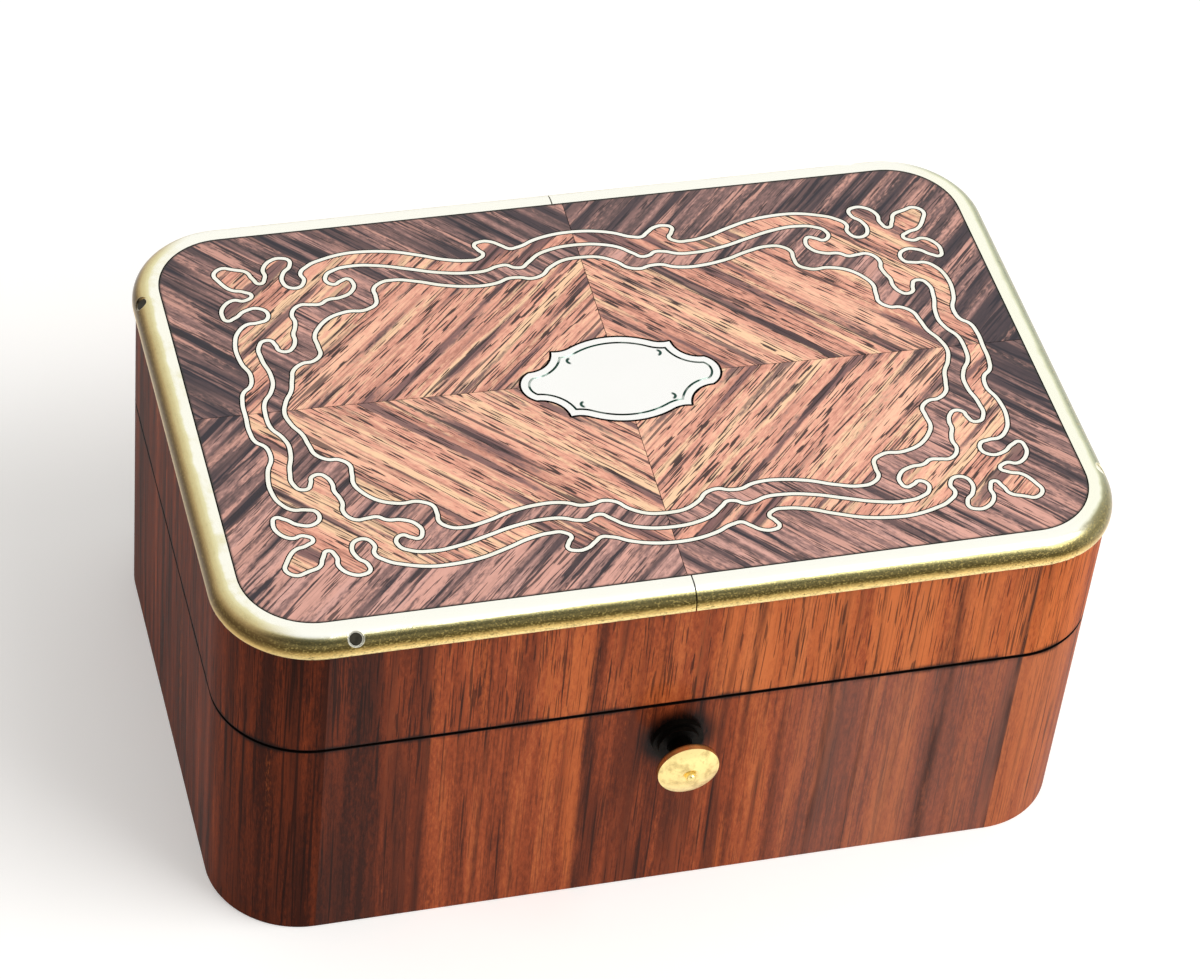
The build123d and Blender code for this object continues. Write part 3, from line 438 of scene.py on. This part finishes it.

# Brass edging: pale on top as painted highlight, dull along the flank as painted shade, bright again at the
# lower edge as painted reflection
edgingLook = {  # the profiles are tones by height, from the lower edge to the top face, with painted highlight, shade and reflection in them
    "profile": [(0.0, tone(255, 226, 160)), (0.1, tone(255, 232, 166)), (0.2, tone(250, 222, 152)),
                (0.31, tone(218, 184, 114)), (0.4, tone(166, 138, 80)), (0.47, tone(100, 84, 42)),
                (0.56, tone(94, 82, 46)), (0.68, tone(122, 112, 72)), (0.79, tone(132, 126, 86)),
                (0.85, tone(164, 158, 116)), (0.885, tone(238, 236, 208)), (0.91, tone(254, 254, 244))],
    "leftProfile": [(0.0, tone(236, 206, 140)), (0.2, tone(200, 168, 104)), (0.36, tone(120, 98, 56)),
                    (0.52, tone(84, 66, 38)), (0.65, tone(100, 80, 48)), (0.75, tone(146, 122, 80)),
                    (0.82, tone(178, 156, 108)), (0.88, tone(204, 188, 138)), (0.94, tone(218, 206, 156)),
                    (0.98, tone(234, 228, 184)), (0.997, tone(254, 253, 240))],
    "rightProfile": [(0.0, tone(248, 222, 156)), (0.2, tone(230, 202, 136)), (0.4, tone(150, 130, 80)),
                     (0.6, tone(140, 136, 100)), (0.75, tone(154, 156, 128)), (0.84, tone(166, 171, 146)),
                     (0.9, tone(180, 186, 158)), (0.945, tone(204, 208, 178)), (0.97, tone(238, 239, 208)),
                     (0.99, tone(254, 254, 236))],
    "shaded": tone(92, 74, 38), "corner": tone(132, 118, 70), "spark": tone(222, 198, 124),
    "pit": tone(58, 50, 24), "ring": tone(255, 252, 236), "rough": 0.17, "wander": 0.06,
    "leftFrom": (-52.0, -46.0), "rightFrom": (46.0, 52.0), "paleTopFrom": (0.82, 0.9), "leftPaleShift": 0.1,
    "rightPaleShift": 0.06, "shadeFrom": (-54.0, -34.0), "shadeWeight": 0.4, "cornerFrom": (43.0, 52.0),
    "cornerBack": (-33.0, -22.0), "cornerWeight": 0.75, "pitWeight": 0.55, "lineWeight": 0.35,
    "grainWeight": 0.3, "sparkWeight": 0.32, "leftFaint": 0.65, "ringRadius": 0.86, "ringFrom": (0.08, 0.2),
    "leftRing": 0.2,
    "pins": [(-40.5, -36.02, 50.5), (40.5, 36.02, 50.5), (-54.77, 24.05, 50.5), (54.77, -24.05, 50.5)]}


def edgingBrass():
    made, x, y, z = startMaterial("edgingBrass")
    wander = mottle(x, y, z, 0.3, 0.6, 4.0, 0.6) - 0.5
    level = (z - edgingLow) / (lidTop - edgingLow) + wander * edgingLook["wander"]
    leftRun, rightRun = x.fall(*edgingLook["leftFrom"]), x.rise(*edgingLook["rightFrom"])
    # the pale top is painted highlight; this mask keeps the wear marks off it
    paleTop = level - leftRun * edgingLook["leftPaleShift"] - rightRun * edgingLook["rightPaleShift"]
    paleTop = paleTop.rise(*edgingLook["paleTopFrom"])
    # painted light by height: highlight on top, shade along the flank, reflection at the lower edge; the left
    # run is painted darker, the right run paler
    colour = leftRun.mix(level.ramp(edgingLook["profile"]), level.ramp(edgingLook["leftProfile"]))
    colour = rightRun.mix(colour, level.ramp(edgingLook["rightProfile"]))
    leftShade = x.fall(*edgingLook["shadeFrom"]) * level.fall(0.5, 0.8) * (1.0 - leftRun)
    colour = (leftShade * edgingLook["shadeWeight"]).mix(colour, edgingLook["shaded"])
    # painted shade: the flank is darker round the right front corner
    rightCornerShade = x.rise(*edgingLook["cornerFrom"]) * y.fall(*edgingLook["cornerBack"])
    rightCornerShade = rightCornerShade * level.rise(0.5, 0.7) * level.fall(0.93, 0.99)
    colour = (rightCornerShade * edgingLook["cornerWeight"]).mix(colour, edgingLook["corner"])
    lines = mottle(x, y, z, 0.3, 5.0, 3.0, 0.7)
    pits = mottle(x, y, z, 1.6, 3.0, 3.0, 0.75).rise(0.54, 0.68)
    dust = mottle(x, y, z, 5.0, 7.0).rise(0.48, 0.64)
    flank = (1.0 - paleTop) * (1.0 - leftRun * edgingLook["leftFaint"])
    wear = pits * edgingLook["pitWeight"] + lines.rise(0.48, 0.72) * edgingLook["lineWeight"]
    wear = (wear + dust * edgingLook["grainWeight"]) * (1.0 - level.rise(0.5, 0.85) * 0.5) * flank
    colour = wear.mix(colour, edgingLook["pit"])
    sparks = mottle(x, y, z, 3.4, 5.0).rise(0.52, 0.66) * flank
    colour = (sparks * edgingLook["sparkWeight"]).mix(colour, edgingLook["spark"])
    # painted highlight: a pale ring round each pin head, fainter on the left run
    for pinX, pinY, pinZ in edgingLook["pins"]:
        away = x.distance(x - pinX, y - pinY, z - pinZ)
        ring = (away - edgingLook["ringRadius"]).size().fall(*edgingLook["ringFrom"])
        colour = (ring * (1.0 - leftRun * (1.0 - edgingLook["leftRing"]))).mix(colour, edgingLook["ring"])
    return finishMaterial(made, {"Base Color": colour, "Metallic": 1.0,
                                 "Roughness": lines * 0.16 + edgingLook["rough"],
                                 "Normal": (lines - pits).bump(0.16, 0.03)})


# Other metals
metalLook = {  # bright tone, dull tone, roughness, blotches per mm
    "string": (tone(253, 253, 244), tone(232, 228, 204), 0.26, 0.16),
    "plate": (tone(255, 255, 253), tone(244, 245, 242), 0.2, 0.16),
    "button": (tone(255, 232, 160), tone(134, 102, 50), 0.24, 0.7),
    "hinge": (tone(196, 160, 88), tone(110, 84, 44), 0.34, 0.3),
    "steel": (tone(168, 168, 170), tone(96, 94, 92), 0.36, 0.3),
    "black": (tone(30, 26, 22), tone(12, 10, 8), 0.45, 0.5),
    "pin": (tone(66, 63, 55), tone(32, 30, 26), 0.4, 0.5)}
buttonRim = buttonLow.y * toMm + 2.1  # the rim's front edge lies this far behind the tip


def metalCoat(name, worn, finish):
    bright, dull, rough, blotch = metalLook[finish]
    made, x, y, z = startMaterial(name)
    tarnish = mottle(x, y, z, blotch, blotch, 5.0, 0.65).rise(0.4, 0.72)
    rub = mottle(x, y, z, 0.07, 6.0)
    specks = mottle(x, y, z, 2.2, 2.2).rise(0.62, 0.75)
    colour = (tarnish * worn + specks * 0.25).mix(bright, dull)
    if finish == "string":
        # painted shade: the string's side walls are dark, as shade in its gap
        colour = sunk(z).mix(colour, grooveShade["tone"])
    if finish == "pin":
        colour = x.rise(0.0, 1.0).mix(colour, edgingLook["ring"])  # the right-hand pins take the pale ring tone
    if finish == "button":
        colour = y.rise(buttonRim, buttonRim + 0.5).mix(colour, metalLook["black"][0])  # dark behind the rim
    return finishMaterial(made, {"Base Color": colour, "Metallic": 1.0,
                                 "Roughness": tarnish * 0.12 + rub * 0.1 + rough,
                                 "Normal": (rub + specks * -0.4).bump(0.12, 0.03)})


plateLook = {"lineTone": tone(44, 78, 68), "faintTone": tone(182, 192, 186), "tickRadius": 0.42,
             "tickWidth": 0.24, "tickX": 5.5, "tickY": 3.9, "tickFrom": (-0.1, 0.2), "edgeFrom": (0.2, 0.3)}


def engravedPlate():
    bright, dull, rough, blotch = metalLook["plate"]
    made, x, y, z = startMaterial("cartoucheMetal")
    x, y = layFrame(x, y)
    fromX, fromY = x.size() - plateLook["tickX"], y.size() - plateLook["tickY"]
    ring = (x.distance(fromX, fromY) - plateLook["tickRadius"]).size()
    tick = ring.fall(plateLook["tickWidth"] * 0.5, plateLook["tickWidth"]) * fromX.rise(*plateLook["tickFrom"])
    smear = x.noise(x * blotch, y * blotch, z, 4.0)
    worn = x.noise(x * 0.35, y * 0.35, 3.0, 1.0).rise(0.5, 0.6)  # the cut line is rubbed out in places
    colour = (smear * 0.5).mix(bright, dull)
    colour = sunk(z).mix(colour, worn.mix(plateLook["lineTone"], plateLook["faintTone"]))
    # painted shade: the plate's sides below its face are dark, as shade in the gap round it
    edge = (lidTop - z).rise(*plateLook["edgeFrom"])
    colour = edge.mix(tick.mix(colour, plateLook["lineTone"]), grooveShade["tone"])
    return finishMaterial(made, {"Base Color": colour, "Metallic": 1.0, "Roughness": smear * 0.1 + rough})


hingeBrass = metalCoat("hingeBrass", 0.7, "hinge")
steel = metalCoat("plainSteel", 0.7, "steel")
dress(edgingBrass(), "edging_left", "edging_right")
dress(metalCoat("stringBrass", 0.4, "string"), "outer_string", "middle_string", "inner_string")
dress(metalCoat("buttonBrass", 0.48, "button"), "push_button")
dress(metalCoat("blackenedBrass", 0.8, "black"), "button_collar")
dress(metalCoat("pinSteel", 0.8, "pin"), "edging_pins")
dress(engravedPlate(), "cartouche")
dress(hingeBrass, "lock_plate", "strike_plate")
dress(steel, "hinge_screws_base", "hinge_screws_lid", "lock_screws", "strike_screws", "catch_lever",
      "catch_pivot_pin", "spring_rivet", "button_washer")
for side in ("left", "right"):
    dress(hingeBrass, f"{side}_hinge_base_leaf", f"{side}_hinge_lid_leaf")
    dress(steel, f"{side}_hinge_pin")
print("metals dressed")


def selectOnly(piece):
    bpy.ops.object.select_all(action="DESELECT")
    piece.select_set(True)
    bpy.context.view_layer.objects.active = piece


# Leaf spring of the lock: a steel copy of the spring, cut crosswise into bands above its foot
springPiece = {"footShare": 4.0 / 10.5, "cuts": 10, "merge": 0.000001, "smoothAngle": 40}
springLow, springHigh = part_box("catch_spring")
spring = bpy.data.objects.new("leaf_spring", nodes["catch_spring"].data.copy())
bpy.context.scene.collection.objects.link(spring)
selectOnly(spring)
bpy.ops.object.mode_set(mode="EDIT")
bpy.ops.mesh.select_all(action="SELECT")
bpy.ops.mesh.remove_doubles(threshold=springPiece["merge"])
footTop = springLow.z + (springHigh.z - springLow.z) * springPiece["footShare"]
for step in range(springPiece["cuts"]):
    height = footTop + (springHigh.z - footTop) * step / springPiece["cuts"]
    bpy.ops.mesh.select_all(action="SELECT")
    bpy.ops.mesh.bisect(plane_co=(0, 0, height), plane_no=(0, 0, 1))
bpy.ops.object.mode_set(mode="OBJECT")
bpy.ops.object.shade_smooth_by_angle(angle=math.radians(springPiece["smoothAngle"]))
spring.data.materials.clear()
spring.data.materials.append(steel)
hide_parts("catch_spring")
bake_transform(spring)
print("leaf spring made")

# Silk linings and pads
silkLook = {"deep": tone(92, 16, 24), "bright": tone(134, 30, 38), "sheenTone": tone(226, 120, 118),
            "sheenRough": 0.4, "threads": 11.0, "slant": 0.15, "threadStrength": 0.25, "threadDepth": 0.04}


def silk(name, sheen, rough, gloss):
    made, x, y, z = startMaterial(name)
    moire = x.noise(x * 0.12, y * 1.1, z * 1.1, 3.0)
    warp = x.math("SINE", (x + y * silkLook["slant"]) * silkLook["threads"])
    weft = y.math("SINE", (y + z) * silkLook["threads"])
    colour = (moire.rise(0.25, 0.75) * 0.8 + warp * 0.06).mix(silkLook["deep"], silkLook["bright"])
    threads = (warp * 0.5 + weft * 0.5).bump(silkLook["threadStrength"], silkLook["threadDepth"])
    return finishMaterial(made, {
        "Base Color": colour, "Roughness": moire * 0.15 + rough, "Specular IOR Level": gloss, "Normal": threads,
        "Sheen Weight": sheen, "Sheen Roughness": silkLook["sheenRough"], "Sheen Tint": silkLook["sheenTone"]})


liningSilk = silk("liningSilk", 0.15, 0.45, 0.2)
padSilk = silk("padSilk", 0.3, 0.3, 0.5)
boxSmooth = 50  # edges flatter than this many degrees are shaded smooth


def boxPiece(name, low, high, bevel, segments):  # a box with softened edges
    bpy.ops.object.select_all(action="DESELECT")
    bpy.ops.mesh.primitive_cube_add(size=1.0, location=(low + high) / 2)
    piece = bpy.context.active_object
    piece.name = name
    piece.scale = high - low
    bpy.ops.object.transform_apply(location=True, rotation=False, scale=True)
    rounding = piece.modifiers.new("softEdge", "BEVEL")
    rounding.width = bevel
    rounding.segments = segments
    bpy.ops.object.modifier_apply(modifier=rounding.name)
    bpy.ops.object.shade_smooth_by_angle(angle=math.radians(boxSmooth))
    return piece


liningPiece = {"edge": 0.45, "segments": 4}
for owner in ("base", "lid"):
    for side in ("front", "back", "left", "right"):
        name = f"{owner}_{side}_lining"
        low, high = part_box(name)
        piece = boxPiece(f"{owner}_{side}_silk", low, high, liningPiece["edge"] / toMm, liningPiece["segments"])
        piece.data.materials.append(liningSilk)
        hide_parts(name)
        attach(piece, owner)
print("linings made")

padPiece = {"grow": 10.0, "spread": 0.18, "press": 0.26, "edge": 7.0, "edgeSegments": 3, "voxel": 0.011,
            "pressure": 4.0, "frames": 20, "cap": 18.0, "seat": 5.0, "startHeight": 0.45}


def swell(piece, seatLow, reach):  # blown up as cloth from its seat, then held inside the linings
    piece.data.remesh_voxel_size = padPiece["voxel"]
    bpy.ops.object.voxel_remesh()
    start = [vertex.co.copy() for vertex in piece.data.vertices]
    heights = [spot.z for spot in start]
    seat = min(heights) if seatLow else max(heights)
    held = piece.vertex_groups.new(name="seat")
    held.add([i for i, z in enumerate(heights) if abs(z - seat) < padPiece["seat"] / toMm], 1.0, "ADD")
    cloth = piece.modifiers.new("swell", "CLOTH")
    cloth.settings.use_pressure = True
    cloth.settings.uniform_pressure_force = padPiece["pressure"]
    cloth.settings.vertex_group_mass = held.name
    cloth.settings.effector_weights.gravity = 0.0
    for step in range(1, padPiece["frames"] + 1):
        bpy.context.scene.frame_set(step)
    bpy.ops.object.modifier_apply(modifier=cloth.name)
    bpy.context.scene.frame_set(1)
    moves = [vertex.co - rest for vertex, rest in zip(piece.data.vertices, start)]
    farthest = max(move.length for move in moves)
    share = min(1.0, padPiece["cap"] / toMm / farthest)
    for vertex, rest, move in zip(piece.data.vertices, start, moves):
        spot = rest + move * share
        spot.x = max(-reach.x, min(reach.x, spot.x))
        spot.y = max(-reach.y, min(reach.y, spot.y))
        vertex.co = spot
    print(piece.name, "swelled by", round(farthest * toMm / padPiece["grow"], 2), "mm, kept", round(share, 2))
    smooth = piece.modifiers.new("ease", "SUBSURF")
    smooth.levels = smooth.render_levels = 1
    bpy.ops.object.modifier_apply(modifier=smooth.name)


def plumpPad(name, node, body, seatLow):  # made at ten times its size, where cloth behaves, then scaled back
    grow = padPiece["grow"]
    low, high = (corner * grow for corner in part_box(node))
    spread, press = (Vector((gap, gap, 0.0)) * grow / toMm for gap in (padPiece["spread"], padPiece["press"]))
    away = (1 - padPiece["startHeight"]) * (high.z - low.z)  # the crown's share of the height
    if seatLow:
        high.z -= away
    else:
        low.z += away
    middle = (low + high) / 2
    reach = (high - low) / 2 + press  # almost to the linings
    piece = boxPiece(name, low - spread - middle, high + spread - middle, padPiece["edge"] / toMm,
                     padPiece["edgeSegments"])
    swell(piece, seatLow, reach)
    piece.data.transform(Matrix.Translation(middle / grow) @ Matrix.Scale(1 / grow, 4))
    selectOnly(piece)
    bpy.ops.object.shade_smooth()
    piece.data.materials.append(padSilk)
    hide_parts(node)
    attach(piece, body)


plumpPad("floor_cushion", "floor_pad", "base", True)
plumpPad("lid_cushion", "lid_pad", "lid", False)
print("pads made")

# Pale floor, white surround and soft light
stagePiece = {"floorSize": 6.0, "floorLevel": -0.0001, "floorTone": tone(250, 249, 247), "floorRough": 0.9,
              "floorGlow": 0.22, "roomTone": tone(255, 254, 252), "roomLight": 0.6, "shadeSide": 0.75,
              "shadeFront": (0.05, 0.55), "shadeUp": (0.4, 0.55)}
seenRays = ("Is Camera Ray", "Is Glossy Ray", "Is Transmission Ray")
bpy.ops.object.select_all(action="DESELECT")
bpy.ops.mesh.primitive_plane_add(size=stagePiece["floorSize"], location=(0, 0, stagePiece["floorLevel"]))
floor = bpy.context.active_object
floor.name = "floor"
floorMade = bpy.data.materials.new("paleFloor")
floorMade.use_nodes = True
floor.data.materials.append(floorMade)
floorPath = floorMade.node_tree.nodes.new("ShaderNodeLightPath")
floorSeen = sum(Wire(floorMade.node_tree, floorPath.outputs[name]) for name in seenRays)
finishMaterial(floorMade, {"Base Color": stagePiece["floorTone"], "Roughness": stagePiece["floorRough"],
                           "Emission Color": floorSeen.mix(tone(0, 0, 0), stagePiece["floorTone"]),
                           "Emission Strength": stagePiece["floorGlow"]})

world = bpy.data.worlds.new("paleRoom")
bpy.context.scene.world = world
world.use_nodes = True
room = world.node_tree
path = room.nodes.new("ShaderNodeLightPath")
ways = Wire(room, room.nodes.new("ShaderNodeTexCoord").outputs["Generated"])
toFront = ways.node("ShaderNodeSeparateXYZ", {}, {0: ways}, output=1) * -1.0
upward = ways.node("ShaderNodeSeparateXYZ", {}, {0: ways}, output=2)
gloom = toFront.rise(*stagePiece["shadeFront"]) * upward.rise(*stagePiece["shadeUp"])  # high up at the front
seenBy, glossy, through = (Wire(room, path.outputs[name]) for name in seenRays)
seen = seenBy + (glossy + through) * (1.0 - gloom * stagePiece["shadeSide"])
hidden = 1.0 - (seenBy + glossy + through)
sky = room.nodes["Background"]
sky.inputs["Color"].default_value = stagePiece["roomTone"]
room.links.new((seen + hidden * stagePiece["roomLight"]).socket, sky.inputs["Strength"])

lampPiece = {"name": "keyPanel", "place": (0.40, -0.30, 0.60), "aim": (0, 0, 0.03), "size": 0.5, "power": 3.8}
lampData = bpy.data.lights.new(lampPiece["name"], "AREA")
lampData.size = lampPiece["size"]
lampData.energy = lampPiece["power"]
lamp = bpy.data.objects.new(lampPiece["name"], lampData)
bpy.context.scene.collection.objects.link(lamp)
lamp.location = lampPiece["place"]
lampWay = Vector(lampPiece["place"]) - Vector(lampPiece["aim"])
lamp.rotation_euler = lampWay.to_track_quat("Z", "Y").to_euler()

# Camera at the photograph's place
cameraPiece = {
    "place": (-0.12231, -0.34716, 0.39245), "lens": 123.04, "sensor": 36.0, "shift": (-0.0227, -0.0009),
    "right": (0.96284, -0.25509, 0.08870), "up": (0.11846, 0.69403, 0.71014),
    "back": (-0.24271, -0.67324, 0.69845)}
camData = bpy.data.cameras.new("photoCamera")
camData.sensor_width = cameraPiece["sensor"]
camData.sensor_fit = "HORIZONTAL"
camData.lens = cameraPiece["lens"]
camData.shift_x, camData.shift_y = cameraPiece["shift"]
camera = bpy.data.objects.new("photoCamera", camData)
bpy.context.scene.collection.objects.link(camera)
turn = Matrix((cameraPiece["right"], cameraPiece["up"], cameraPiece["back"])).transposed().to_4x4()
camera.matrix_world = Matrix.Translation(cameraPiece["place"]) @ turn
bpy.context.scene.camera = camera
bpy.context.scene.view_settings.view_transform = "Standard"
print("camera and light set")
